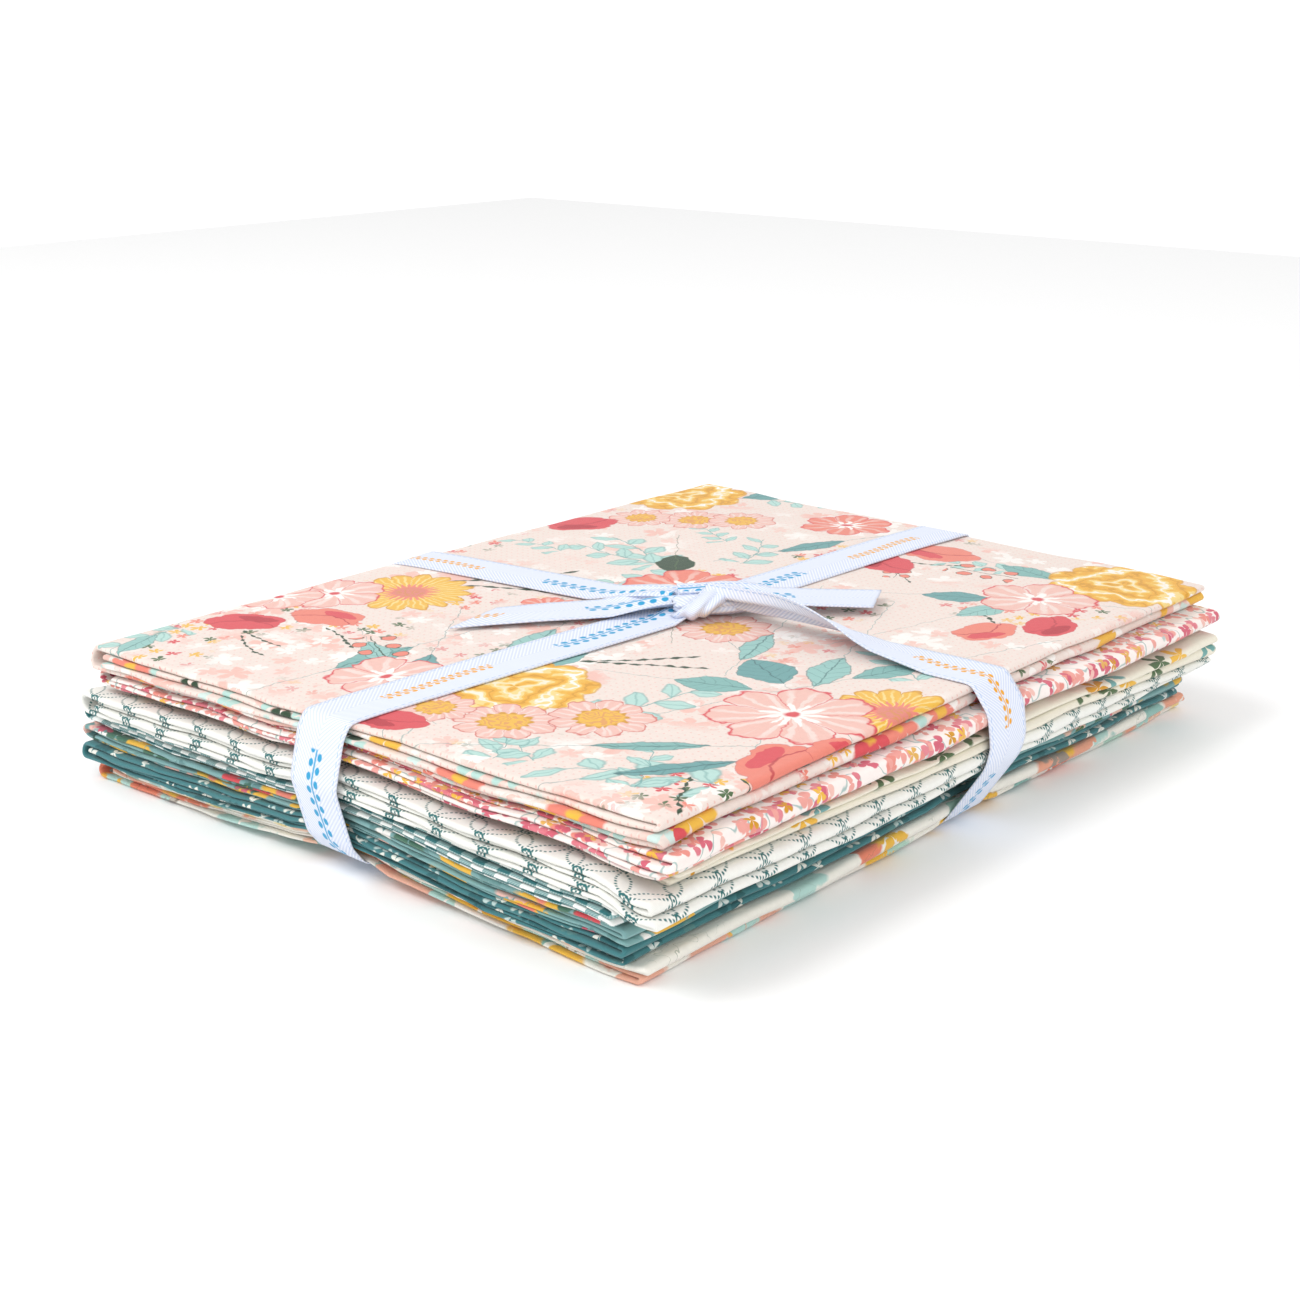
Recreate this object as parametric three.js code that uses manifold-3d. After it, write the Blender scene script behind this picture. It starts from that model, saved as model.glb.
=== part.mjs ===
// A bundle of eight folded cotton fabric cuts, stacked and tied crosswise with one ribbon.
// Millimetres. +X runs along the long side of the cuts, +Y towards their back fold, +Z up.
// The bundle lies on Z = 0, with the middle of its outline over the origin.

import * as THREE from 'three';
import { mergeVertices } from 'three/addons/utils/BufferGeometryUtils.js';
import Module from 'manifold-3d';

// ---------- Driving dimensions ----------

const CUT_THICKNESS = 5.64;      // one cut, folded to sixteen layers of cloth
const GAP = 0.3;                 // clearance between pieces that touch
const FOLD_NOTCH = 2.0;          // how deep the line between a cut's two front folds goes
const ARC_STEPS = 8;             // facets round each half-round fold

const RIBBON_WIDTH = 20;
const RIBBON_THICKNESS = 0.5;
const CROSSING = { x: 0, y: -2 };   // where the ribbon's two runs cross, under the knot

// The four runs of the ribbon, by the direction in which each leaves the crossing, in degrees.
const RIBBON_RUNS = { right: -1.2, back: 96, left: 177, front: 271 };

const KNOT_LENGTH = 26;          // along the line of the tails
const KNOT_WIDTH = 17;
const KNOT_HEIGHT = 8.5;
const KNOT_TURN = -30;           // degrees from +X

const TAIL_LIFT = 3.2;           // how high a tail leaves the knot, above its resting level
const TAIL_DROP_LENGTH = 26;     // how far from the knot it takes to come down
const TAIL_STEP = 4;             // spacing of the bends along a tail

// Each cut, from the lowest to the top one: its folded length and depth, the place of its middle
// and its turn in degrees. No cut is folded or stacked quite like the next.
const CUTS = [
  { name: 'cut_8_large_floral', length: 287, depth: 229, x: 0, y: 7, turn: -0.3, colour: 0xf3ecdd },
  { name: 'cut_7_dark_teal', length: 285, depth: 229, x: -4, y: 11, turn: -0.4, colour: 0x2f6668 },
  { name: 'cut_6_sage_floral', length: 283, depth: 230, x: -5, y: 9, turn: -1.1, colour: 0x7fa5a3 },
  { name: 'cut_5_gingham', length: 281, depth: 232, x: -7, y: 8, turn: -2.0, colour: 0xa9cbc9 },
  { name: 'cut_4_dotted_arcs', length: 284, depth: 237, x: -8.5, y: -1, turn: -0.6, colour: 0xf2eee0 },
  { name: 'cut_3_ivory', length: 282, depth: 230, x: -6.5, y: -4, turn: -1.6, colour: 0xf1e8d6 },
  { name: 'cut_2_ditsy_floral', length: 286, depth: 233, x: -5, y: -2.5, turn: -0.5, colour: 0xf0c9c9 },
  { name: 'cut_1_blush_floral', length: 290, depth: 229, x: -1.5, y: 1.5, turn: 0, colour: 0xf7dccf },
];

// The two loose ends: direction from the knot in degrees, length along the middle, and the slant
// of the cut end, as the distance by which its one edge is longer than the middle.
const TAILS = [
  { name: 'ribbon_tail_left', direction: 137, length: 58, slant: 8 },
  { name: 'ribbon_tail_right', direction: -42, length: 49, slant: -5 },
];

const RIBBON_COLOUR = 0xecedf8;

// ---------- Derived levels ----------

const LAYER_PITCH = CUT_THICKNESS + GAP;
const STACK_TOP = CUTS.length * LAYER_PITCH - GAP;
const RIBBON_TOP = STACK_TOP + GAP + RIBBON_THICKNESS;

// ---------- Joining and cutting ----------

const wasm = await Module();
wasm.setup();

/** Turns a closed three.js geometry into a solid that can be joined and cut. */
function toSolid(geometry) {
  const bare = geometry.clone();
  bare.deleteAttribute('normal');
  bare.deleteAttribute('uv');
  const merged = mergeVertices(bare, 1e-4);
  return new wasm.Manifold(new wasm.Mesh({
    numProp: 3,
    vertProperties: new Float32Array(merged.attributes.position.array),
    triVerts: new Uint32Array(merged.index.array),
  }));
}

/** Turns a solid back into a three.js geometry. */
function toGeometry(solid) {
  const mesh = solid.getMesh();
  const geometry = new THREE.BufferGeometry();
  geometry.setAttribute('position', new THREE.BufferAttribute(new Float32Array(mesh.vertProperties), 3));
  geometry.setIndex(new THREE.BufferAttribute(new Uint32Array(mesh.triVerts), 1));
  geometry.computeVertexNormals();
  return geometry;
}

// ---------- Folded cuts ----------

/** Side outline of a folded cut: two half-round folds at the front, one large one at the back. */
function foldedOutline(depth) {
  const half = depth / 2;
  const backRadius = CUT_THICKNESS / 2;
  const frontRadius = CUT_THICKNESS / 4;
  const points = [];
  const addFold = (y, z, radius, from, to) => {
    for (let i = 0; i <= ARC_STEPS; i++) {
      const angle = from + (to - from) * i / ARC_STEPS;
      points.push(new THREE.Vector2(y + radius * Math.cos(angle), z + radius * Math.sin(angle)));
    }
  };
  const flank = Math.PI / 3;   // the folds meet in a notch, so each stops short of a half turn
  addFold(half - backRadius, backRadius, backRadius, -Math.PI / 2, Math.PI / 2);
  addFold(-half + frontRadius, 3 * frontRadius, frontRadius, Math.PI / 2, Math.PI + flank);
  points.push(new THREE.Vector2(-half + FOLD_NOTCH, CUT_THICKNESS / 2));
  addFold(-half + frontRadius, frontRadius, frontRadius, Math.PI - flank, 3 * Math.PI / 2);
  return new THREE.Shape(points);
}

/** A folded cut along X, with its underside on Z = 0 and its middle over the origin. */
function cutGeometry(cut) {
  const options = { depth: cut.length, bevelEnabled: false };
  const geometry = new THREE.ExtrudeGeometry(foldedOutline(cut.depth), options);
  geometry.translate(0, 0, -cut.length / 2);
  const outlineToWorld = new THREE.Matrix4().makeBasis(
    new THREE.Vector3(0, 1, 0), new THREE.Vector3(0, 0, 1), new THREE.Vector3(1, 0, 0));
  return geometry.applyMatrix4(outlineToWorld);
}

/** Places a cut's geometry in the stack. */
function placedCut(cut, level) {
  return cutGeometry(cut)
    .rotateZ(THREE.MathUtils.degToRad(cut.turn))
    .translate(cut.x, cut.y, level * LAYER_PITCH);
}

// ---------- Ribbon round the stack ----------

/** How far a ray from the crossing, moved sideways, runs before it leaves a cut's outline. */
function reachInCut(cut, direction, sideways) {
  const turn = THREE.MathUtils.degToRad(cut.turn);
  const along = new THREE.Vector2(Math.cos(direction), Math.sin(direction));
  const start = new THREE.Vector2(CROSSING.x - cut.x, CROSSING.y - cut.y)
    .add(new THREE.Vector2(-along.y, along.x).multiplyScalar(sideways));
  const origin = new THREE.Vector2();
  start.rotateAround(origin, -turn);
  along.rotateAround(origin, -turn);
  const exits = [
    (Math.sign(along.x) * cut.length / 2 - start.x) / along.x,
    (Math.sign(along.y) * cut.depth / 2 - start.y) / along.y,
  ];
  return Math.min(...exits);
}

/** Distance from the crossing at which a run of the ribbon clears every cut. */
function runReach(direction) {
  const sides = [-RIBBON_WIDTH / 2, RIBBON_WIDTH / 2];
  const reaches = CUTS.flatMap((cut) => sides.map((side) => reachInCut(cut, direction, side)));
  return Math.max(...reaches) + GAP;
}

/** One run of the ribbon: over the top from the crossing, down the side and back underneath. */
function ribbonRun(directionDegrees) {
  const direction = THREE.MathUtils.degToRad(directionDegrees);
  const reach = runReach(direction);
  const inner = -RIBBON_WIDTH / 2;   // past the crossing, so that the four runs join there
  const outline = new THREE.Shape([
    new THREE.Vector2(inner, 0),
    new THREE.Vector2(reach + RIBBON_THICKNESS, 0),
    new THREE.Vector2(reach + RIBBON_THICKNESS, RIBBON_TOP),
    new THREE.Vector2(inner, RIBBON_TOP),
    new THREE.Vector2(inner, RIBBON_TOP - RIBBON_THICKNESS),
    new THREE.Vector2(reach, RIBBON_TOP - RIBBON_THICKNESS),
    new THREE.Vector2(reach, RIBBON_THICKNESS),
    new THREE.Vector2(inner, RIBBON_THICKNESS),
  ]);
  const geometry = new THREE.ExtrudeGeometry(outline, { depth: RIBBON_WIDTH, bevelEnabled: false });
  return geometry
    .translate(0, 0, -RIBBON_WIDTH / 2)
    .rotateX(Math.PI / 2)
    .rotateZ(direction)
    .translate(CROSSING.x, CROSSING.y, 0);
}

/** The groove that the ribbon presses into the lowest cut, as a solid to take away. */
function underRibbonGroove(directionDegrees) {
  const direction = THREE.MathUtils.degToRad(directionDegrees);
  const length = runReach(direction) + RIBBON_WIDTH;
  const depth = RIBBON_THICKNESS + GAP;
  return new THREE.BoxGeometry(length, RIBBON_WIDTH + 2 * GAP, 2 * depth)
    .translate(length / 2 - RIBBON_WIDTH / 2 - GAP, 0, 0)
    .rotateZ(direction)
    .translate(CROSSING.x, CROSSING.y, 0);
}

// ---------- Knot and tails ----------

/** The knot: a flattened round lump that stands on the crossing. */
function knotGeometry() {
  return new THREE.SphereGeometry(0.5, 24, 12)
    .scale(KNOT_LENGTH, KNOT_WIDTH, KNOT_HEIGHT)
    .rotateZ(THREE.MathUtils.degToRad(KNOT_TURN))
    .translate(CROSSING.x, CROSSING.y, RIBBON_TOP + GAP + KNOT_HEIGHT / 2);
}

/** Half the knot's size in a direction, measured level with its middle. */
function knotReach(direction) {
  const angle = direction - THREE.MathUtils.degToRad(KNOT_TURN);
  return 1 / Math.hypot(Math.cos(angle) / (KNOT_LENGTH / 2), Math.sin(angle) / (KNOT_WIDTH / 2));
}

/** Height of a tail over its resting level, at a distance from its root. */
function tailLift(distance) {
  const left = Math.max(0, 1 - distance / TAIL_DROP_LENGTH);
  return TAIL_LIFT * left * left;
}

/** A loose end: a flat strip with a slanted end, bent down from the knot to the top of the ribbon. */
function tailGeometry(tail) {
  const direction = THREE.MathUtils.degToRad(tail.direction);
  const root = knotReach(direction) + GAP;
  const edge = (side) => {
    const end = root + tail.length + Math.sign(side) * tail.slant;
    const steps = Math.ceil((end - root) / TAIL_STEP);
    const points = [];
    for (let i = 0; i <= steps; i++) {
      points.push(new THREE.Vector2(root + (end - root) * i / steps, side));
    }
    return points;
  };
  const outline = new THREE.Shape([...edge(-RIBBON_WIDTH / 2), ...edge(RIBBON_WIDTH / 2).reverse()]);
  const geometry = new THREE.ExtrudeGeometry(outline, { depth: RIBBON_THICKNESS, bevelEnabled: false });
  const position = geometry.attributes.position;
  for (let i = 0; i < position.count; i++) {
    position.setZ(i, position.getZ(i) + tailLift(position.getX(i) - root));
  }
  return geometry
    .rotateZ(direction)
    .translate(CROSSING.x, CROSSING.y, RIBBON_TOP + GAP);
}

// ---------- Assembly ----------

const bundle = new THREE.Group();

function addMesh(name, geometry, colour, roughness) {
  geometry.computeVertexNormals();
  const material = new THREE.MeshStandardMaterial({ color: colour, roughness, metalness: 0 });
  const mesh = new THREE.Mesh(geometry, material);
  mesh.name = name;
  bundle.add(mesh);
}

const directions = Object.values(RIBBON_RUNS);
const joinAll = (geometries) => geometries.map(toSolid).reduce((sum, next) => sum.add(next));

CUTS.forEach((cut, level) => {
  let geometry = placedCut(cut, level);
  if (level === 0) {
    geometry = toGeometry(toSolid(geometry).subtract(joinAll(directions.map(underRibbonGroove))));
  }
  addMesh(cut.name, geometry, cut.colour, 0.9);
});

addMesh('ribbon_wrap', toGeometry(joinAll(directions.map(ribbonRun))), RIBBON_COLOUR, 0.7);
addMesh('ribbon_knot', knotGeometry(), RIBBON_COLOUR, 0.7);
TAILS.forEach((tail) => addMesh(tail.name, tailGeometry(tail), RIBBON_COLOUR, 0.7));

const box = new THREE.Box3().setFromObject(bundle);
bundle.position.set(-(box.min.x + box.max.x) / 2, -(box.min.y + box.max.y) / 2, -box.min.z);
bundle.updateMatrixWorld(true);

export default bundle;
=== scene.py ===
"""A bundle of eight folded cotton cuts, tied crosswise with a knotted ribbon.

Each cut is one whole sheet of cloth, folded in quarters along its width and then in quarters
along its length, so every band and fold that shows is a real fold of that sheet. Places come from
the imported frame. Lengths are in metres, unless a name ends in _mm.
"""

import math
from collections import namedtuple
from functools import partialmethod

import bpy
import numpy as np
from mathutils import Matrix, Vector


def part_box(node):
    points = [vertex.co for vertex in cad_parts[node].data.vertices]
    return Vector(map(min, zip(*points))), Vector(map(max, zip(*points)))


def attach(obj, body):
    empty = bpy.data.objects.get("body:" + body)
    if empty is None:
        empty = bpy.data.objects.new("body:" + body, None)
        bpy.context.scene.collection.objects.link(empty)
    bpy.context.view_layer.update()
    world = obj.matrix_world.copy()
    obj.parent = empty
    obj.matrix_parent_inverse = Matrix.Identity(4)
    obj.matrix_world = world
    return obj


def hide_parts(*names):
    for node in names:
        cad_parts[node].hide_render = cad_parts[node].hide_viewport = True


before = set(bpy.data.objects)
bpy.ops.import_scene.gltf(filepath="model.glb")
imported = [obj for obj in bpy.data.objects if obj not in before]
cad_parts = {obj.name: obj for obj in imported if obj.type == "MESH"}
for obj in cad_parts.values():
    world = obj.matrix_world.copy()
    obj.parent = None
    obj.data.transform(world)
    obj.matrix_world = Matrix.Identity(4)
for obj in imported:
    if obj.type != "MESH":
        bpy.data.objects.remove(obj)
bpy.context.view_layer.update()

MM = 0.001
UP = np.array([0.0, 0.0, 1.0])


# ---------- The cuts, from the top one down ----------
# thickness: share of the stack's height, relative to an even share, at the left side, at the
# front-left corner, in the middle of the front and at the front-right corner.
# slabs: shares of the cut's four folded slabs at the left side, from the top down.
# front_split: share of the upper front fold in the cut's height at the front.
# front_mm: how far the upper and the lower front fold stand out, at the left corner, in the
# middle and at the right corner.
# left_mm: how far each slab's fold stands out at the left side, from the top down.

Cut = namedtuple("Cut", "thickness slabs front_split front_mm left_mm")
CUTS = {
    "cut_1_blush_floral": Cut((1.42, 1.18, 1.20, 1.20), (0.28, 0.26, 0.24, 0.22), 0.42,
                              ((0.5, 0.0, 0.0), (1.5, 0.6, -1.0)), (-1.5, -1.0, 0.8, -1.2)),
    "cut_2_ditsy_floral": Cut((0.85, 1.16, 1.35, 1.10), (0.16, 0.28, 0.30, 0.26), 0.72,
                              ((1.5, 0.5, 1.0), (-1.5, -5.0, -3.0)), (-2.5, 0.0, 0.8, -1.0)),
    "cut_3_ivory": Cut((0.30, 0.62, 0.88, 1.45), (0.25, 0.25, 0.25, 0.25), 0.40,
                       ((0.0, -1.0, 1.0), (-2.0, 0.0, -1.0)), (-9.0, -11.0, -8.5, -10.0)),
    "cut_4_dotted_arcs": Cut((1.45, 1.42, 1.20, 0.72), (0.30, 0.18, 0.30, 0.22), 0.62,
                             ((-1.5, -0.5, 0.0), (0.5, -1.0, -1.5)), (0.5, -0.6, 0.8, 0.0)),
    "cut_5_gingham": Cut((1.02, 0.60, 0.62, 0.65), (0.22, 0.30, 0.26, 0.22), 0.55,
                         ((0.5, 1.0, 1.0), (0.0, 1.0, 1.0)), (-0.5, 0.3, 0.6, -0.4)),
    "cut_6_sage_floral": Cut((0.98, 0.95, 0.70, 0.95), (0.36, 0.24, 0.22, 0.18), 0.50,
                             ((2.0, 2.0, 2.0), (1.5, 2.0, 2.0)), (0.8, -0.6, 0.2, -0.8)),
    "cut_7_dark_teal": Cut((0.98, 0.72, 0.78, 0.85), (0.26, 0.30, 0.24, 0.20), 0.50,
                           ((2.0, 3.0, 3.0), (1.5, 3.5, 3.0)), (0.0, 0.8, -0.5, 0.2)),
    "cut_8_large_floral": Cut((1.00, 1.25, 1.35, 1.15), (0.34, 0.20, 0.20, 0.26), 0.62,
                              ((1.5, 1.0, 0.0), (-1.0, -1.5, -3.0)), (0.4, -0.8, -1.2, 0.0)),
}
STACK = list(reversed(CUTS))          # from the lowest cut up
CLOTH_THICKNESS = 0.18 * MM


# ---------- Plan of the stack ----------

def corner(node, side_x, side_y):
    """Plan position of a CAD node's corner, on the given sides (-1 or 1) of X and Y."""
    points = np.array([v.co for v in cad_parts[node].data.vertices])
    return points[np.argmax(side_x * points[:, 0] + side_y * points[:, 1]), :2]


PLAN = {name: np.array([[corner(name, sx, sy) for sy in (-1, 1)] for sx in (-1, 1)]) for name in CUTS}
PLAN[STACK[-1]][1] += np.array([(-3.0, 0.0), (8.0, 0.5)]) * MM   # the top cut lies a little askew
PLAN[STACK[-1]][0, 1, 0] -= 2.0 * MM
MEAN_PLAN = np.mean([PLAN[name] for name in CUTS], axis=0)
LEFT_X, RIGHT_X = MEAN_PLAN[:, :, 0].mean(axis=1)
FRONT_Y, BACK_Y = MEAN_PLAN[:, :, 1].mean(axis=0)
STACK_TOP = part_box(STACK[-1])[1].z
SLAB_THICKNESS = STACK_TOP / len(STACK) / 4

RIBBON_WIDTH = 0.020
RIBBON_THICKNESS = 0.45 * MM
KNOT_LOW, KNOT_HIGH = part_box("ribbon_knot")
CROSSING = ((KNOT_LOW.x + KNOT_HIGH.x) / 2, (KNOT_LOW.y + KNOT_HIGH.y) / 2)
RUN_TURNS = {"right": -1.2, "back": 96.0, "left": 177.0, "front": 271.0}   # degrees from +X


def smooth(t):
    """Eases from 0 to 1 as t does."""
    t = np.clip(t, 0.0, 1.0)
    return t * t * (3.0 - 2.0 * t)


def bump(t):
    """A bell that is 1 at 0 and nearly 0 beyond 2."""
    return np.exp(-t * t)


def running_total(steps):
    return np.concatenate([[0], np.cumsum(steps)])


def path_lengths(points):
    """Distance along a path at each of its points."""
    return running_total(np.linalg.norm(np.diff(points, axis=0), axis=1))


def ripple(seed, t, longest):
    """A smooth random curve between about -1 and 1, with no wave much longer than longest."""
    rng = np.random.default_rng(seed)
    total = np.zeros_like(np.asarray(t, float))
    for octave, share in enumerate((0.6, 0.3, 0.2)):
        period = longest / (1.9 ** octave) * rng.uniform(0.85, 1.15)
        total = total + share * np.sin(2 * math.pi * (t / period + rng.uniform()))
    return total


def ripple_2d(seed, x, y, longest):
    """A smooth random surface between about -1 and 1."""
    rng = np.random.default_rng(seed)
    total = np.zeros_like(x)
    for octave in range(4):
        turn = rng.uniform(0, math.pi)
        period = longest / (1.6 ** octave)
        along = x * math.cos(turn) + y * math.sin(turn)
        total = total + 0.45 / (1.3 ** octave) * np.sin(2 * math.pi * (along / period + rng.uniform()))
    return total


# ---------- Heights between the cuts ----------

EDGE_REACH_LEFT = 0.022       # how far in from the left side the uneven thickness goes
EDGE_REACH_FRONT = 0.014
SQUEEZE_DEPTH = 0.0045        # how far the ribbon lifts the stack's underside at the left
FRONT_SQUEEZE_DEPTH = 0.0015
GROOVE_DEPTH = 1.2 * MM       # room for the ribbon under the stack
GROOVE_HALF_WIDTH = 0.017


def run_y(run, x):
    """Y of a left or right ribbon run at x."""
    return CROSSING[1] + (x - CROSSING[0]) * math.tan(math.radians(RUN_TURNS[run]))


def run_x(run, y):
    """X of a front or back ribbon run at y."""
    return CROSSING[0] + (y - CROSSING[1]) / math.tan(math.radians(RUN_TURNS[run]))


def underside(x, y):
    """Height of the stack's underside: the ribbon pulls it up where it comes round the sides."""
    left = bump((y - run_y("left", LEFT_X)) / 0.052) * bump(np.maximum(x - LEFT_X, 0) / 0.045)
    right = bump((y - CROSSING[1]) / 0.050) * bump(np.maximum(RIGHT_X - x, 0) / 0.040)
    front = bump((x - run_x("front", FRONT_Y)) / 0.055) * bump(np.maximum(y - FRONT_Y, 0) / 0.035)
    back = bump((x - CROSSING[0]) / 0.055) * bump(np.maximum(BACK_Y - y, 0) / 0.035)
    squeeze = SQUEEZE_DEPTH * (left + 0.8 * right) + FRONT_SQUEEZE_DEPTH * (front + back)
    across_run = np.abs(y - np.where(x < CROSSING[0], run_y("left", x), CROSSING[1]))
    along_run = np.abs(x - np.where(y < CROSSING[1], run_x("front", y), run_x("back", y)))
    groove = (smooth((GROOVE_HALF_WIDTH - across_run) / 0.004)
              + smooth((GROOVE_HALF_WIDTH - along_run) / 0.004))
    return squeeze + GROOVE_DEPTH * np.minimum(groove, 1.5)


def topside(x, y):
    """Height of the stack's top: flat, and falling away a little at the edges."""
    front = bump(np.maximum(y - FRONT_Y, 0) / 0.012)
    left = bump(np.maximum(x - LEFT_X, 0) / 0.008)
    right = bump(np.maximum(RIGHT_X - x, 0) / 0.016)
    back = bump(np.maximum(BACK_Y - y, 0) / 0.010)
    wave = 0.35 * MM * ripple_2d(5, x, y, 0.16)
    return STACK_TOP - MM * (0.3 * front + 0.2 * left + 0.5 * right + 0.2 * back) + wave


def near_edges(x, y):
    """How near a place is to the left side and to the front, from 0 to 1."""
    return smooth(1 - (x - LEFT_X) / EDGE_REACH_LEFT), smooth(1 - (y - FRONT_Y) / EDGE_REACH_FRONT)


def shares(x, y):
    """Each cut's share of the height at (x, y), from the lowest cut up, adding up to one."""
    at_left, at_front = near_edges(x, y)
    along = np.clip((x - LEFT_X) / (RIGHT_X - LEFT_X), 0, 1)
    result = []
    for index, name in enumerate(STACK):
        left, corner_left, middle, corner_right = CUTS[name].thickness
        front = np.interp(along, (0.0, 0.3, 0.7, 1.0), (corner_left, middle, middle, corner_right))
        share = 1 + at_left * (1 - at_front) * (left - 1) + at_front * (front - 1)
        loose = 0.05 + 0.07 * np.maximum(at_left, at_front)
        result.append(share * (1 + loose * ripple_2d(40 + index, x, y, 0.11)))
    result = np.array(result)
    return result / result.sum(axis=0)


def cut_levels(name, x, y):
    """Heights of a cut's underside and top at (x, y)."""
    level = STACK.index(name)
    steps = np.cumsum(shares(x, y), axis=0)
    low, high = underside(x, y), topside(x, y)
    below = steps[level - 1] if level else 0.0
    return low + (high - low) * below, low + (high - low) * steps[level]


# ---------- Folding one cut ----------

LAYER_STEP = 0.24             # spacing of the four layers in a slab, as a share of the slab
SLAB_HEIGHTS = {1: 3.5, 2: 2.5, 3: 1.5, 4: 0.5}   # middles of the slabs, in slab thicknesses
FOLD_SWELL = 1.35             # a fold's reach against the thickness it turns round
FOLD_STEPS = 7
GRADED_MM = (0, 0.8, 2, 3.6, 6, 9, 13, 18, 24, 31, 39)   # sample spacing near a fold
COARSE_STEP_MM = 9.0
SIDE_REACH = 0.030            # how far in from its sides a cut's uneven outline goes


def graded(length):
    """Sample positions from 0 to length, close together near both ends."""
    near = np.array(GRADED_MM) * MM
    count = int(round((length - 2 * near[-1]) / (COARSE_STEP_MM * MM)))
    middle = np.linspace(near[-1], length - near[-1], count + 1)[1:-1]
    return np.concatenate([near, middle, length - near[::-1]])


def across_path(length, bulge, selvage_gaps):
    """The path across the cloth's width through one slab: x, height in the slab, and the outer fold.

    It starts at the selvage of layer 3, turns at the left side into layer 2, at the right side
    into layer 1, round the outside at the left again into layer 4, and ends at that selvage.
    """
    top, upper, lower, bottom = (LAYER_STEP * k for k in (1.5, 0.5, -0.5, -1.5))
    outer, inner = 1.5 * LAYER_STEP * bulge, 0.5 * LAYER_STEP * bulge
    inset = outer - inner + 0.3 * MM
    quarter = 0.5 * math.pi
    xs, ws = [], []

    def line(x_from, x_to, w):
        steps = graded(abs(x_to - x_from))
        xs.extend(x_from + math.copysign(1, x_to - x_from) * steps)
        ws.extend([w] * len(steps))

    def turn(x_centre, w_centre, radius_x, radius_w, start, end):
        for k in range(1, FOLD_STEPS):
            angle = start + (end - start) * k / FOLD_STEPS
            xs.append(x_centre + radius_x * math.cos(angle))
            ws.append(w_centre + radius_w * math.sin(angle))

    right = length - inner
    line(length - selvage_gaps[0], inset + inner, lower)
    turn(inset + inner, 0.0, inner, 0.5 * LAYER_STEP, 3 * quarter, quarter)
    line(inset + inner, right, upper)
    turn(right, LAYER_STEP, inner, 0.5 * LAYER_STEP, -quarter, quarter)
    line(right, outer, top)
    turn(outer, 0.0, outer, 1.5 * LAYER_STEP, quarter, 3 * quarter)
    outer_fold = len(xs) - FOLD_STEPS // 2
    line(outer, length - selvage_gaps[1], bottom)
    return np.array(xs), np.array(ws), outer_fold


def along_path(depth):
    """The path along the cloth's length: slab 2, front fold, slab 1, back fold, slab 4, front fold, slab 3.

    Each step is (kind, place, angle): for a slab its share of the way from front to back, and for
    a fold its angle.
    """
    steps = []
    along = graded(depth) / depth
    quarter = 0.5 * math.pi

    def slab(number, shares_along):
        steps.extend((number, share, 0.0) for share in shares_along)

    def fold(kind, start, end, count):
        steps.extend((kind, 0.0, start + (end - start) * k / count) for k in range(1, count))

    slab(2, along[::-1])
    fold("upper", -quarter, quarter, FOLD_STEPS)
    slab(1, along)
    fold("back", quarter, -quarter, 2 * FOLD_STEPS)
    slab(4, along[::-1])
    fold("lower", -quarter, -3 * quarter, FOLD_STEPS)
    slab(3, along)
    return steps


def fold_samples(spec, seed, length, depth, xs, ws, steps, raw_gaps):
    """Each sample in the cut's own frame: x, y from its front, and height in slab thicknesses."""
    x = np.repeat(xs[:, None], len(steps), axis=1)
    w = np.repeat(ws[:, None], len(steps), axis=1)
    y, height, side_shift = np.zeros_like(x), np.zeros_like(x), np.zeros_like(x)
    along = np.clip(x / length, 0, 1)
    fold_reach = FOLD_SWELL * SLAB_THICKNESS
    fronts = []
    for row in (0, 1):
        stand_out = np.interp(along, (0.0, 0.5, 1.0), spec.front_mm[row]) * MM
        fronts.append(fold_reach - (stand_out + 0.9 * MM * ripple(seed + row, x, 0.12)))
    back = depth - 2.0 * SLAB_THICKNESS + 0.8 * MM * ripple(seed + 3, x, 0.15)

    def side_of(number, y_column):
        return spec.left_mm[number - 1] * MM + 0.8 * MM * ripple(seed + 10 + number, y_column, 0.07)

    for column, (kind, share, angle) in enumerate(steps):
        wc = w[:, column]
        blend = 0.5 + 0.5 * math.sin(angle)
        if kind in SLAB_HEIGHTS:
            front = fronts[0 if kind < 3 else 1][:, column]
            end = back[:, column] - (raw_gaps[kind - 2] if kind in (2, 3) else 0.0)
            y_here = front + share * (end - front)
            height[:, column] = SLAB_HEIGHTS[kind] + (wc if kind in (1, 3) else -wc)
            side_shift[:, column] = side_of(kind, y_here)
        else:
            if kind == "back":
                over, under = 1, 4
                y_here = back[:, column] + (1.5 + wc) * SLAB_THICKNESS * math.cos(angle)
                height[:, column] = 2 + (1.5 + wc) * math.sin(angle)
            else:
                row, centre, over, under = (0, 3, 1, 2) if kind == "upper" else (1, 1, 3, 4)
                y_here = fronts[row][:, column] - (0.5 + wc) * fold_reach * abs(math.cos(angle))
                height[:, column] = centre + (0.5 + wc) * math.sin(angle)
            side_shift[:, column] = blend * side_of(over, y_here) + (1 - blend) * side_of(under, y_here)
        y[:, column] = y_here

    right_shift = 0.9 * MM * ripple(seed + 30, y + 0.02 * height, 0.10)
    x = x - smooth(1 - x / SIDE_REACH) * side_shift + smooth(1 - (length - x) / SIDE_REACH) * right_shift
    return x, y, height


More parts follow.
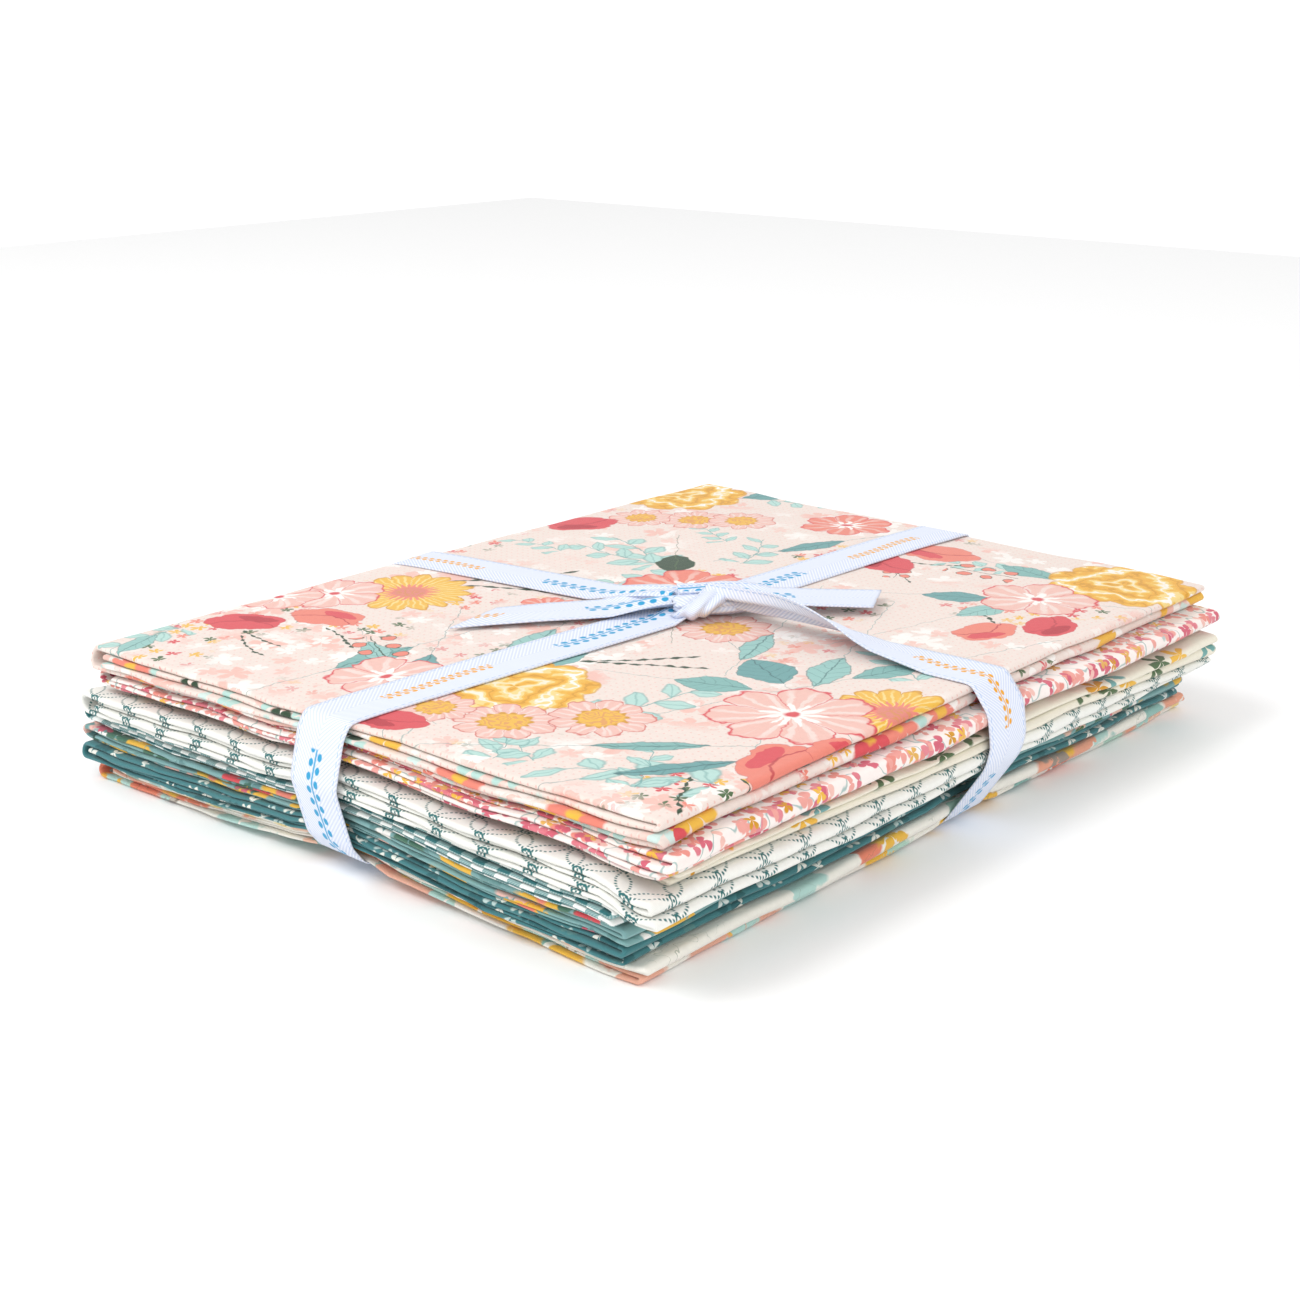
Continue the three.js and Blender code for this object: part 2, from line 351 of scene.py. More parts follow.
def lift(name, px, py, height):
    """Height above the floor of samples at a place in plan and a height in slab thicknesses."""
    spec = CUTS[name]
    low, high = cut_levels(name, px, py)
    at_left, at_front = near_edges(px, py)
    split = 0.5 + at_front * (spec.front_split - 0.5)
    even = np.stack([np.zeros_like(px), (1 - split) / 2, 1 - split, 1 - split / 2, np.ones_like(px)])
    bottom_up = np.cumsum([0.0, *spec.slabs[::-1]])
    side_weight = at_left * (1 - 0.7 * at_front)
    levels = even + side_weight * (bottom_up[:, None, None] - even)
    index = np.clip(height.astype(int), 0, 3)
    floor_level = np.take_along_axis(levels, index[None], axis=0)[0]
    roof_level = np.take_along_axis(levels, index[None] + 1, axis=0)[0]
    share = floor_level + (height - index) * (roof_level - floor_level)
    return low + (0.02 + 0.96 * share) * (high - low)


def fold_cut(name):
    """A whole cut's cloth as a grid of points, its flat coordinates and its places when baked."""
    plan = PLAN[name]
    seed = 100 * (1 + STACK.index(name))
    rng = np.random.default_rng(seed)
    length = np.linalg.norm(plan[1] - plan[0], axis=1).mean()
    depth = np.linalg.norm(plan[:, 1] - plan[:, 0], axis=1).mean()
    selvage_gaps = rng.uniform(1.0, 5.0, 2) * MM
    raw_gaps = rng.uniform(2.0, 7.0, 2) * MM
    xs, ws, outer_fold = across_path(length, FOLD_SWELL * SLAB_THICKNESS, selvage_gaps)
    steps = along_path(depth)
    x, y, height = fold_samples(CUTS[name], seed, length, depth, xs, ws, steps, raw_gaps)
    across_share, along_share = (x / length)[..., None], (y / depth)[..., None]
    front = plan[0, 0] + across_share * (plan[1, 0] - plan[0, 0])
    back = plan[0, 1] + across_share * (plan[1, 1] - plan[0, 1])
    place = front + along_share * (back - front)
    px, py = place[..., 0], place[..., 1]
    grid = np.stack([px, py, lift(name, px, py, height)], axis=-1)

    flat_across = running_total(np.hypot(np.diff(xs), np.diff(ws) * SLAB_THICKNESS))
    flat_along = path_lengths(grid[len(xs) // 2])
    kinds = [kind for kind, share, angle in steps]
    fold_columns = {"upper": FOLD_STEPS // 2, "lower": FOLD_STEPS // 2, "back": FOLD_STEPS}
    folds = [flat_along[kinds.index(kind) + middle] for kind, middle in fold_columns.items()]
    u = flat_across[outer_fold] - flat_across
    v = flat_along - folds[0]
    hidden_u, hidden_v = (0.10, 0.15) if name == STACK[-1] else (0.30, 0.75)
    share_u = bake_share(u, length, (0.0,), hidden_u)
    share_v = bake_share(v, depth, np.array(folds) - folds[0], hidden_v)
    return grid, u, v, (share_u, share_v)


def bake_share(values, shown, folds, hidden_weight):
    """Where sample lines go in a baked picture: more room for the layer on top and for the folds."""
    middles = (values[1:] + values[:-1]) / 2
    weights = np.where((middles > 0) & (middles < shown), 1.0, hidden_weight)
    for fold in folds:
        weights = weights + 8.0 * bump((middles - fold) / (6 * MM))
    total = running_total(np.abs(np.diff(values)) * weights)
    return total / total[-1]


BAKE_PRINTED = 0.90           # share of a baked picture's width for the printed side
BAKE_WRONG = (0.92, 0.06)     # where the wrong side starts, and its width
BAKE_RIM = ((0.990, 0.02), (0.998, 0.02), (0.998, 0.98), (0.990, 0.98))


def grid_normals(grid):
    """Unit normals of a grid of points, on the printed side."""
    normals = np.cross(np.gradient(grid, axis=1), np.gradient(grid, axis=0))
    return normals / np.maximum(np.linalg.norm(normals, axis=-1, keepdims=True), 1e-12)


def pairs(across, along):
    """Every pair of an across and an along value, in the order of a grid's points."""
    return np.stack(np.meshgrid(across, along, indexing="ij"), axis=-1).reshape(-1, 2)


def sheet_mesh(name, grid, u, v, bake, thickness, bake_row=(0.0, 1.0)):
    """A closed mesh of cloth with a printed side, a wrong side and raw edges round it."""
    rows, columns = grid.shape[:2]
    offset = grid_normals(grid) * thickness / 2
    points = np.concatenate([(grid + offset).reshape(-1, 3), (grid - offset).reshape(-1, 3)])
    index = np.arange(rows * columns).reshape(rows, columns)
    a, b, c, d = index[:-1, :-1], index[1:, :-1], index[1:, 1:], index[:-1, 1:]
    printed = np.stack([a, d, c, b], axis=-1).reshape(-1, 4)
    wrong = np.stack([a, b, c, d], axis=-1).reshape(-1, 4) + rows * columns
    border = np.concatenate([index[:, 0], index[-1, 1:], index[-2::-1, -1], index[0, -2:0:-1]])
    after = np.roll(border, -1)
    rim = np.stack([border, after, after + rows * columns, border + rows * columns], axis=-1)
    faces = np.concatenate([printed, wrong, rim])
    mesh = bpy.data.meshes.new(name)
    mesh.from_pydata(points.tolist(), [], faces.tolist())
    flat = np.tile(pairs(u, v), (2, 1))
    places = pairs(*bake)
    places[:, 1] = bake_row[0] + (bake_row[1] - bake_row[0]) * (0.01 + 0.98 * places[:, 1])
    on_wrong = places * (BAKE_WRONG[1], 1.0) + (BAKE_WRONG[0], 0.0)
    baked = np.concatenate([places * (BAKE_PRINTED, 1.0), on_wrong])[faces]
    baked[len(printed) + len(wrong):] = BAKE_RIM
    for layer, values in (("Flat", flat[faces]), ("OFBake", baked)):
        mesh.uv_layers.new(name=layer).data.foreach_set("uv", values.astype(np.float32).ravel())
    sides = np.zeros(len(faces), np.int32)
    sides[len(printed):] = 1
    mesh.polygons.foreach_set("material_index", sides)
    mesh.polygons.foreach_set("use_smooth", np.ones(len(faces), bool))
    mesh.update()
    return mesh


def add_piece(mesh):
    obj = bpy.data.objects.new(mesh.name, mesh)
    bpy.context.scene.collection.objects.link(obj)
    return obj


# ---------- Prints, as fields over the flat cloth ----------

MIX_AMOUNT, MIX_UNDER, MIX_OVER, MIX_RESULT = 0, 6, 7, 2   # sockets of a node that mixes colours


class Field:
    """A number or colour that varies over a surface, combined with ordinary arithmetic."""

    def __init__(self, tree, socket):
        self.tree = tree
        self.socket = socket

    def math(self, operation, *others, clamp=False):
        values = dict(enumerate((self, *others)))
        return node(self.tree, "ShaderNodeMath", values, operation=operation, use_clamp=clamp)

    def __rsub__(self, other):
        return self * -1.0 + other

    def inside(self, softness=0.04):
        """1 where the field is positive, 0 where it is negative, with a soft edge."""
        return self.math("MULTIPLY_ADD", 1.0 / softness, 0.5, clamp=True)

    def between(self, low=0.0, high=1.0, softness=0.01):
        """1 where the field is from low to high, with soft edges."""
        above_low = self - low if low else self
        return above_low.inside(softness) * (high - self).inside(softness)

    def line(self, width, softness=0.03):
        """1 along the curve where the field is 0."""
        return (width - self.abs()).inside(softness)


FIELD_MATH = {"__add__": "ADD", "__radd__": "ADD", "__sub__": "SUBTRACT", "__mul__": "MULTIPLY",
              "__rmul__": "MULTIPLY", "__truediv__": "DIVIDE", "maximum": "MAXIMUM", "abs": "ABSOLUTE",
              "sin": "SINE", "frac": "FRACT", "power": "POWER", "above": "GREATER_THAN"}
for method, operation in FIELD_MATH.items():
    setattr(Field, method, partialmethod(Field.math, operation))


def node(tree, kind, inputs, output=0, **settings):
    """Adds a node, with fields linked to its inputs and plain values set on them."""
    made = tree.nodes.new(kind)
    for name, value in settings.items():
        setattr(made, name, value)
    for name, value in inputs.items():
        if isinstance(value, Field):
            tree.links.new(value.socket, made.inputs[name])
        else:
            made.inputs[name].default_value = value
    return Field(tree, made.outputs[output])


def from_origin(x, y):
    """Distance of a place from the origin."""
    return (x * x + y * y).power(0.5)


def rgb(text):
    """Linear colour from a hex colour."""
    channels = [int(text[i:i + 2], 16) / 255 for i in (0, 2, 4)]
    return (*[c / 12.92 if c < 0.04045 else ((c + 0.055) / 1.055) ** 2.4 for c in channels], 1.0)


class Print:
    """The printed colour of one cloth, built up layer by layer. Lengths are in millimetres."""

    def __init__(self, tree, colour):
        self.tree = tree
        self.colour = colour

    def paint(self, colour, amount):
        """Lays a colour over the print so far."""
        over = rgb(colour) if isinstance(colour, str) else colour
        values = {MIX_AMOUNT: amount, MIX_UNDER: self.colour, MIX_OVER: over}
        self.colour = node(self.tree, "ShaderNodeMix", values, output=MIX_RESULT, data_type="RGBA")

    def vector(self, operation, first, second):
        """Arithmetic on vectors. The second value is a number for SCALE and a vector otherwise."""
        values = {0: first, "Scale" if operation == "SCALE" else 1: second}
        return node(self.tree, "ShaderNodeVectorMath", values, operation=operation)

    def split(self, vector, kind="ShaderNodeSeparateXYZ"):
        """The first two channels of a vector or a colour."""
        first = node(self.tree, kind, {0: vector})
        return first, Field(self.tree, first.socket.node.outputs[1])

    def noise(self, period, detail=2.0, seed=0.0):
        values = {"Vector": self.raw, "W": seed, "Scale": 1.0 / period, "Detail": detail}
        return node(self.tree, "ShaderNodeTexNoise", values, noise_dimensions="4D")

    def cells(self, vector, period, jitter):
        """Two random numbers of the nearest scattered point, and the place from it in periods."""
        values = {"Vector": vector, "Scale": 1.0 / period, "Randomness": jitter}
        colour = node(self.tree, "ShaderNodeTexVoronoi", values, output="Color", voronoi_dimensions="2D")
        point = Field(self.tree, colour.socket.node.outputs["Position"])
        choice, chance = self.split(colour, "ShaderNodeSeparateColor")
        x, y = self.split(self.vector("SUBTRACT", vector, point))
        return choice, chance, x / period, y / period

    def pick(self, value, colours):
        """One of several colours by a random value, evenly."""
        picked = node(self.tree, "ShaderNodeValToRGB", {0: value})
        ramp = picked.socket.node.color_ramp
        ramp.interpolation = "CONSTANT"
        while len(ramp.elements) < len(colours):
            ramp.elements.new(0.5)
        for i, colour in enumerate(colours):
            ramp.elements[i].position = i / len(colours)
            ramp.elements[i].color = rgb(colour)
        return picked

    def petals(self, x, y, count, depth, sharp=0.6):
        """Radius, angle and edge of a ring of petals that reaches 1."""
        radius = from_origin(x, y)
        angle = y.math("ARCTAN2", x)
        lobe = (angle * (count / 2)).sin().abs().power(sharp)
        return radius, angle, (1.0 - depth) + lobe * depth - radius

    def stamp(self, draw, x, y, turn, size, settings):
        """Draws a motif over the print so far, at a place, turned and scaled."""
        key = (draw.__name__, *settings)
        if key not in STAMPS:
            STAMPS[key] = make_stamp(draw, settings)
        values = {"Colour": self.colour, "At": self.at, "Patches": self.patches, "Place": (x, y, 0.0),
                  "Turn": (0.0, 0.0, math.radians(turn)), "Size": (size, size, 1.0)}
        self.colour = node(self.tree, "ShaderNodeGroup", values, node_tree=STAMPS[key])

    def scatter(self, period, share, colours, count, depth, size, stretch=1.0, amount=1.0, heart=None,
                jitter=0.85, softness=0.06):
        """Small flowers scattered over the ground, a share of the places taken."""
        vector = self.at if stretch == 1.0 else self.vector("MULTIPLY", self.at, (1.0, stretch, 1.0))
        choice, chance, x, y = self.cells(vector, period, jitter)
        radius, angle, edge = self.petals(x, y, count, depth)
        taken = (share - chance).above(0.0) * amount
        self.paint(self.pick(choice, colours), (edge - (1.0 - size)).inside(softness) * taken)
        if heart:
            self.paint(heart, (size * 0.28 - radius).inside(0.05) * taken)


STAMPS = {}
STAMP_INPUTS = {"Colour": "NodeSocketColor", "At": "NodeSocketVector", "Place": "NodeSocketVector",
                "Turn": "NodeSocketVector", "Size": "NodeSocketVector", "Patches": "NodeSocketFloat"}


def make_stamp(draw, settings):
    """A node group that draws one kind of motif."""
    tree = bpy.data.node_groups.new(draw.__name__, "ShaderNodeTree")
    for name, kind in STAMP_INPUTS.items():
        tree.interface.new_socket(name=name, in_out="INPUT", socket_type=kind)
    tree.interface.new_socket(name="Colour", in_out="OUTPUT", socket_type="NodeSocketColor")
    given = tree.nodes.new("NodeGroupInput")
    fields = {name: Field(tree, given.outputs[name]) for name in STAMP_INPUTS}
    design = Print(tree, fields["Colour"])
    design.patches = fields["Patches"]
    values = {"Vector": fields["At"], "Location": fields["Place"], "Rotation": fields["Turn"],
              "Scale": fields["Size"]}
    x, y = design.split(node(tree, "ShaderNodeMapping", values, vector_type="TEXTURE"))
    draw(design, x, y, *settings)
    taken = tree.nodes.new("NodeGroupOutput")
    tree.links.new(design.colour.socket, taken.inputs[0])
    return tree


# Each motif is drawn in its own units: x runs along it, and 1 is its length or its radius.

def blossom(design, x, y, count, colours, depth, heart):
    """A round open flower: fill, shade, outline, heart and stamen colours."""
    fill, shade, outline, centre, stamen = colours
    radius, angle, edge = design.petals(x, y, count, depth)
    edge = edge + (angle * 17.0).sin() * 0.018 + (design.patches - 0.5) * 0.25
    petal = edge.inside()
    streaks = (angle * (count * 2.5) + radius * 3.0).sin() * (1.2 - radius) - 0.25
    veins = 0.07 - (angle * (count * 3.5) + radius * 2.0).sin().abs() - radius * 0.05
    seams = (angle * (count / 2)).sin().abs() * radius - 0.03
    spokes = (angle * (count * 1.5)).sin() * (0.16 - heart * 0.25) + (0.22 + heart * 0.62) - radius
    specks = ((design.patches * 61.0).sin() - 0.3).inside(0.3) * (heart * 0.9 - radius).inside(0.05)
    design.paint(fill, petal)
    design.paint(shade, streaks.inside(0.3) * petal * 0.85)
    design.paint(outline, veins.inside(0.05) * petal * 0.30)
    design.paint(outline, (0.0 - seams).inside(0.04) * petal * 0.75)
    design.paint(outline, edge.line(0.02))
    design.paint(stamen, spokes.inside(0.05))
    design.paint(centre, (heart - radius).inside(0.05))
    design.paint(outline, specks * 0.45)


def ruffle(design, x, y, colours):
    """A full, ruffled bloom, in light and dark patches with white between."""
    fill, shade, outline, white = colours
    radius, angle, edge = design.petals(x, y, 9, 0.16, 0.8)
    bloom = edge.inside()
    folds = (radius * 13.0 + (angle * 3.0).sin() * 1.6 + design.patches * 11.0).sin()
    design.paint(fill, bloom)
    design.paint(BUTTER, (folds - 0.25).inside(0.2) * bloom * 0.8)
    design.paint(white, (folds - 0.90).inside(0.12) * bloom * (0.25 + radius))
    design.paint(shade, (0.0 - folds - 0.35).inside(0.3) * bloom * 0.8)
    design.paint(outline, (0.0 - folds - 0.93).inside(0.08) * bloom * 0.8)
    design.paint(outline, edge.line(0.014) * 0.8)


def leaf(design, x, y, plumpness, colour, rib):
    """One pointed leaf from a point, with a midrib and side veins."""
    span = (x * math.pi).sin() * x.between()
    edge = span * (plumpness / 2) - y.abs()
    blade = edge.inside(0.02)
    design.paint(colour, blade)
    veins = ((x * 6.0 - y.abs() * 5.0).frac() - 0.5).line(0.05, 0.06)
    ribs = y.line(0.008, 0.012).maximum(veins * 0.45)
    design.paint(rib, ribs * blade * 0.7)
    design.paint(rib, edge.line(0.005, 0.012) * x.between(0.02, 0.98) * 0.7)


def spray(design, x, y, count, curve, colour, rib):
    """A stem with paired leaves, getting smaller towards its tip."""
    bent = y - x * x * curve
    place = (x * count + bent.above(0.0) * 0.5).frac() - 0.12
    taper = 1.15 - x * 0.45
    across = bent.abs() * count
    a = (place * 0.62 + across * 0.78) / taper
    b = (across * 0.62 - place * 0.78) / taper
    edge = (a * math.pi).sin() * 0.24 - b.abs()
    limits = x.between(0.02, 1.02) * a.between(softness=0.02)
    blade = edge.inside(0.06) * limits
    design.paint(colour, blade)
    design.paint(rib, b.line(0.02, 0.04) * blade * 0.6)
    design.paint(rib, edge.line(0.03, 0.05) * limits * 0.6)
    design.paint(rib, bent.line(0.006, 0.008) * x.between() * 0.9)


def twig(design, x, y, curve, colour):
    """A thin dark twig with small nodes along it."""
    bent = y - x * x * curve
    beads = ((x * 7.0).frac() - 0.5).abs() * 0.05
    design.paint(colour, (0.028 - beads - bent.abs()).inside(0.012) * x.between())


def bud(design, x, y, colours):
    """A closed cup-shaped flower with an overlapping dark petal, and its sepals."""
    fill, shade, outline, sepal = colours
    radius, angle, edge = design.petals(x * 0.9, y * 1.35, 5, 0.14, 0.9)
    cup = edge.inside()
    along, across = x - 0.25, y - 0.34 + x * 0.2
    inner = 0.60 - (along * along + across * across * 7.0).power(0.5)
    design.paint(sepal, (0.16 - from_origin(x + 0.92, y)).inside())
    design.paint(fill, cup)
    design.paint(shade, inner.inside() * cup)
    design.paint(outline, (y + x * x * 0.5 - 0.1).line(0.03) * cup * 0.8)
    design.paint(outline, edge.line(0.015) * 0.5)


def berries(design, x, y, colour, outline):
    """Three pairs of round berries on thin stalks."""
    place = (x * 3.0 + y.above(0.0) * 0.4).frac() - 0.5
    radius = from_origin(place, y.abs() * 3.0 - 0.55)
    design.paint(outline, y.line(0.008, 0.012) * x.between())
    design.paint(colour, (0.27 - radius).inside(0.05) * x.between())
    design.paint(outline, (0.27 - radius).line(0.02, 0.04) * x.between())


def sprig(design, x, y, colour):
    """A small printed sprig: a stem with paired leaves."""
    bent = y - (x * 6.0).sin() * 0.012
    place = (x * 14.0 + bent.above(0.0) * 0.5).frac() - 0.5
    across = bent.abs() * 14.0 - 0.42
    blade = 0.30 - (place * place + across * across * 1.6).power(0.5)
    design.paint(colour, blade.inside(0.1) * x.between())
    design.paint(colour, bent.line(0.006, 0.008) * x.between())


def make_print(name, ground, wobble=0.8):
    """A new cloth's print, with its ground colour and its wavering and patchy fields."""
    material = bpy.data.materials.new(name)
    material.use_nodes = True
    design = Print(material.node_tree, rgb(ground))
    design.material = material
    flat = node(design.tree, "ShaderNodeUVMap", {}, uv_map="Flat")
    design.raw = design.vector("MULTIPLY", flat, (1 / MM, 1 / MM, 0.0))
    values = {"Vector": design.raw, "Scale": 0.22, "Detail": 2.0}
    blur = node(design.tree, "ShaderNodeTexNoise", values, output="Color")
    shift = design.vector("SUBTRACT", blur, (0.5, 0.5, 0.5))
    design.at = design.vector("ADD", design.raw, design.vector("SCALE", shift, 4.0 * wobble))
    design.patches = design.noise(7.0, 2.0, 1.0)
    return design


def finish_surface(design, colour, surface, height, bump_values):
    """Sets a material's colour, relief and surface, and returns the material."""
    shader = design.tree.nodes["Principled BSDF"]
    lumps = node(design.tree, "ShaderNodeBump", {"Height": height, **bump_values})
    design.tree.links.new(colour.socket, shader.inputs["Base Color"])
    design.tree.links.new(lumps.socket, shader.inputs["Normal"])
    for name, value in surface.items():
        shader.inputs[name].default_value = value
    return design.material


WEAVE_MM = 0.42               # twice the spacing of the threads
WEAVE_SURFACE = {"Roughness": 0.9, "Specular IOR Level": 0.25, "Sheen Weight": 0.25,
                 "Sheen Roughness": 0.45}
WEAVE_BUMP = {"Strength": 0.75, "Distance": 0.10 * MM}


def weave(design):
    """Finishes a cloth: threads that cross over and under, with painted shade where they dip under each
    other, slubs and a soft matt surface.
    """
    u, v = design.split(design.raw)
    warp, weft = ((way * (2 * math.pi / WEAVE_MM)).sin() for way in (u, v))
    threads = (warp * weft) * 0.5 + 0.5
    slub = design.noise(1.7, 2.0, 7.0)
    # Painted shade: the colour is darkened where the threads dip, in step with their relief, and is varied by
    # the slubs' uneven tone.
    shaded = design.vector("SCALE", design.colour, threads * 0.13 + slub * 0.10 + 0.775)
    return finish_surface(design, shaded, WEAVE_SURFACE, threads * 0.6 + slub * 0.8, WEAVE_BUMP)


# ---------- The eight prints ----------

CORAL, RED, DEEP_RED = "F08A78", "E0525A", "BE3340"
PINK, PALE_PINK, ROSE = "F4C4B8", "F7E2DA", "D9667A"
MUSTARD, OCHRE, BUTTER = "F4BF48", "D99A22", "FBE29A"
TEAL, DEEP_TEAL, MINT, PALE_MINT = "74ABA8", "2C5A5E", "BCE0D8", "D6ECE6"
MOSS, DARK_GREEN, WHITE = "55704A", "2F4A34", "FFFBF6"

YELLOW_BLOOM = (MUSTARD, "F0AE2E", OCHRE, WHITE)
PINK_BLOOM = (PINK, PALE_PINK, RED, RED, WHITE)
DAISY = (PINK, PALE_PINK, "D9776E", MUSTARD, OCHRE)
YELLOW_DAISY = (MUSTARD, BUTTER, OCHRE, "E58A7C", CORAL)
CORAL_BLOOM = (CORAL, PINK, RED, RED, WHITE)
BUD_COLOURS = ((RED, DEEP_RED, DEEP_RED, DARK_GREEN), (CORAL, RED, DEEP_RED, DARK_GREEN))
LEAF_SHADES = ("86BAB5", "6FA6A6", "9CCBC5")

# Each row: place across and along the cloth from the top's front-left corner, turn, size.
RUFFLES = ((271, 221, 20, 26), (54, 99, 10, 25), (272, 21, 40, 26))
DAISIES = ((243, 190, 10, 13), (254, 175, 30, 13), (232, 208, 70, 12), (30, 80, 20, 15), (50, 62, 50, 15),
           (26, 103, 0, 12), (140, 90, 30, 15))
PINK_BLOOMS = ((87, 23, 0, 24), (37, 135, 20, 18), (236, 33, 50, 20), (86, 214, 20, 17), (72, 226, 60, 15))
CORAL_BLOOMS = ((169, 131, 10, 22), (276, 141, 60, 17), (122, 150, 0, 10))
YELLOW_DAISIES = ((103, 196, 0, 21), (108, 3, 30, 20))
BUDS = ((46, 211, -60, 12), (66, 195, -75, 12), (210, 219, 150, 13), (264, 92, 100, 15), (240, 98, 60, 13),
        (192, 25, 165, 11), (211, 13, 190, 11), (53, 3, 20, 15), (10, 105, 100, 11), (76, -4, -30, 11))
TEAL_LEAVES = ((62, 150, 175, 30, 13), (60, 140, 215, 27, 12), (72, 118, 20, 34, 15), (70, 106, 355, 22, 9),
               (108, 42, 60, 26, 17), (112, 34, 20, 30, 12), (98, 46, 110, 24, 15), (226, 44, 120, 24, 12),
               (222, 36, 165, 22, 10), (262, 42, 80, 24, 12), (284, 200, 330, 24, 12), (46, 146, 60, 22, 9),
               (52, 24, 130, 34, 7), (48, 12, 150, 36, 7), (20, 222, 200, 22, 8), (125, 30, -20, 26, 11),
               (255, 126, 160, 30, 8), (146, 76, 200, 30, 9))
SPRAYS = ((186, 158, 55, 42, 3.0, 0.2), (186, 158, 100, 40, 3.0, -0.2), (180, 142, 145, 36, 3.0, 0.2),
          (205, 136, 10, 34, 3.0, 0.3), (226, 160, 60, 30, 4.0, 0.1), (30, 6, 100, 44, 3.0, 0.3),
          (12, 52, 70, 30, 3.0, -0.3), (6, 62, 20, 26, 2.5, 0.3), (14, 20, 20, 30, 3.0, 0.2),
          (290, 190, 280, 30, 3.0, 0.2), (30, 222, 175, 34, 3.0, 0.2), (54, 62, -15, 42, 3.0, 0.15),
          (136, 14, 50, 30, 3.0, 0.2), (176, 196, 80, 26, 3.0, 0.2), (262, 60, 100, 26, 3.0, 0.2))
TWIGS = ((120, 196, -40, 46, 0.2), (120, 188, -55, 44, -0.2), (84, 100, -44, 37, 0.1),
         (86, 96, -50, 34, -0.1), (40, 204, -110, 22, 0.2), (58, 186, -100, 24, -0.2),
         (36, 200, -130, 22, 0.3), (38, 4, -120, 26, 0.3), (246, 92, -70, 22, 0.2),
         (234, 92, -110, 18, -0.2), (196, 22, 40, 26, 0.3), (30, 14, 200, 26, 0.2))
BERRIES = ((48, 146, 60, 26), (254, 52, 95, 26), (226, 84, 30, 18))

# How each group of flowers is drawn, from the back to the front: motif, places, settings.
FLOWERS = (
    (berries, BERRIES, (CORAL, DARK_GREEN)),
    (blossom, CORAL_BLOOMS, (6, CORAL_BLOOM, 0.25, 0.12)),
    (blossom, YELLOW_DAISIES, (16, YELLOW_DAISY, 0.22, 0.26)),
    (ruffle, RUFFLES, (YELLOW_BLOOM,)),
    (blossom, PINK_BLOOMS[:1], (7, PINK_BLOOM, 0.28, 0.1)),
    (blossom, PINK_BLOOMS[1:], (5, PINK_BLOOM, 0.28, 0.1)),
    (blossom, DAISIES, (9, DAISY, 0.25, 0.44)),
)
REACH = {spray: 1.2, bud: 1.3}   # how far a motif reaches from its place, in sizes, where not 1.1
TILE_MARGIN_MM = 9.0


def bouquet():
    """Every motif of the blush print, from the back to the front."""
    for x, y, turn, size, count, curve in SPRAYS:
        yield spray, x, y, turn, size, (count, curve, MINT, TEAL)
    for x, y, turn, size, curve in TWIGS:
        yield twig, x, y, turn, size, (curve, DARK_GREEN)
    for index, (x, y, turn, size, width) in enumerate(TEAL_LEAVES):
        yield leaf, x, y, turn, size, (round(width / size, 1), LEAF_SHADES[index % 3], DEEP_TEAL)
    yield leaf, 180, 145, 40, 26, (0.55, DARK_GREEN, MOSS)
    for draw, places, settings in FLOWERS:
        for place in places:
            yield draw, *place, settings
    for index, place in enumerate(BUDS):
        yield bud, *place, (BUD_COLOURS[index % 2],)


def blush_ground(name):
    """The blush ground, its pin-dots and the faded small flowers behind the bouquets."""
    design = make_print(name, "F3E3DA")
    choice, chance, x, y = design.cells(design.raw, 2.7, 0.15)
    design.paint(CORAL, (0.12 - from_origin(x, y)).inside(0.06) * 0.36)
    faded = (design.noise(38.0, 1.0, 5.0) - 0.53).inside(0.10) * 0.85
    for period, share, colours in ((13.0, 0.75, (WHITE, PALE_PINK, "F6BFB2")), (8.0, 0.5, (WHITE, "F6C6BA"))):
        design.scatter(period, share, colours, 5, 0.45, 0.5, amount=faded, jitter=0.9, softness=0.08)
    bright = (design.noise(46.0, 1.0, 9.0) - 0.60).inside(0.06)
    colours = (CORAL, MUSTARD, MOSS, RED)
    design.scatter(6.0, 0.65, colours, 5, 0.5, 0.4, amount=bright, jitter=1.0, softness=0.08)
    return design


def blush_tile(low, high):
    """The blush print over one tile of the top, with only the motifs that reach into it."""
    design = blush_ground("blush_floral_top")
    for draw, x, y, turn, size, settings in bouquet():
        away = math.hypot(max(low[0] - x, 0, x - high[0]), max(low[1] - y, 0, y - high[1]))
        if away < REACH.get(draw, 1.1) * size + TILE_MARGIN_MM:
            design.stamp(draw, x, y, turn, size, settings)
    return weave(design)


def blush_print():
    """The blush print away from the top, with its motifs scattered."""
    design = blush_ground("blush_floral")
    design.scatter(17.0, 0.6, (MINT, PALE_MINT, TEAL, MINT), 3, 0.6, 0.44, stretch=1.5)
    design.scatter(21.0, 0.55, (CORAL, PINK, RED, WHITE, MUSTARD), 6, 0.25, 0.44, heart=MUSTARD)
    design.scatter(14.0, 0.25, (DARK_GREEN, RED, WHITE), 2, 0.7, 0.36)
    return weave(design)


def ditsy_print():
    design = make_print("ditsy_floral", "FFF4EF", 0.7)
    stems = design.noise(9.0, 1.0, 2.0) - 0.5
    design.paint(TEAL, stems.line(0.012, 0.015) * 0.7)
    design.scatter(6.8, 0.9, (ROSE, "F2A79D", "E88A94", "F3A59B", ROSE, "EE9488"), 3, 0.4, 0.44)
    design.scatter(4.6, 0.5, ("E27D8A", "F2A79D", "F6C3B8", ROSE), 2, 0.5, 0.42, stretch=0.7)
    design.scatter(7.5, 0.35, (MUSTARD, OCHRE, "E8B45A"), 4, 0.4, 0.30)
    return weave(design)


def ivory_print():
    design = make_print("ivory", "F4EEDC")
    design.scatter(15.0, 0.5, (MUSTARD, MOSS, TEAL, OCHRE), 5, 0.6, 0.42)
    return weave(design)


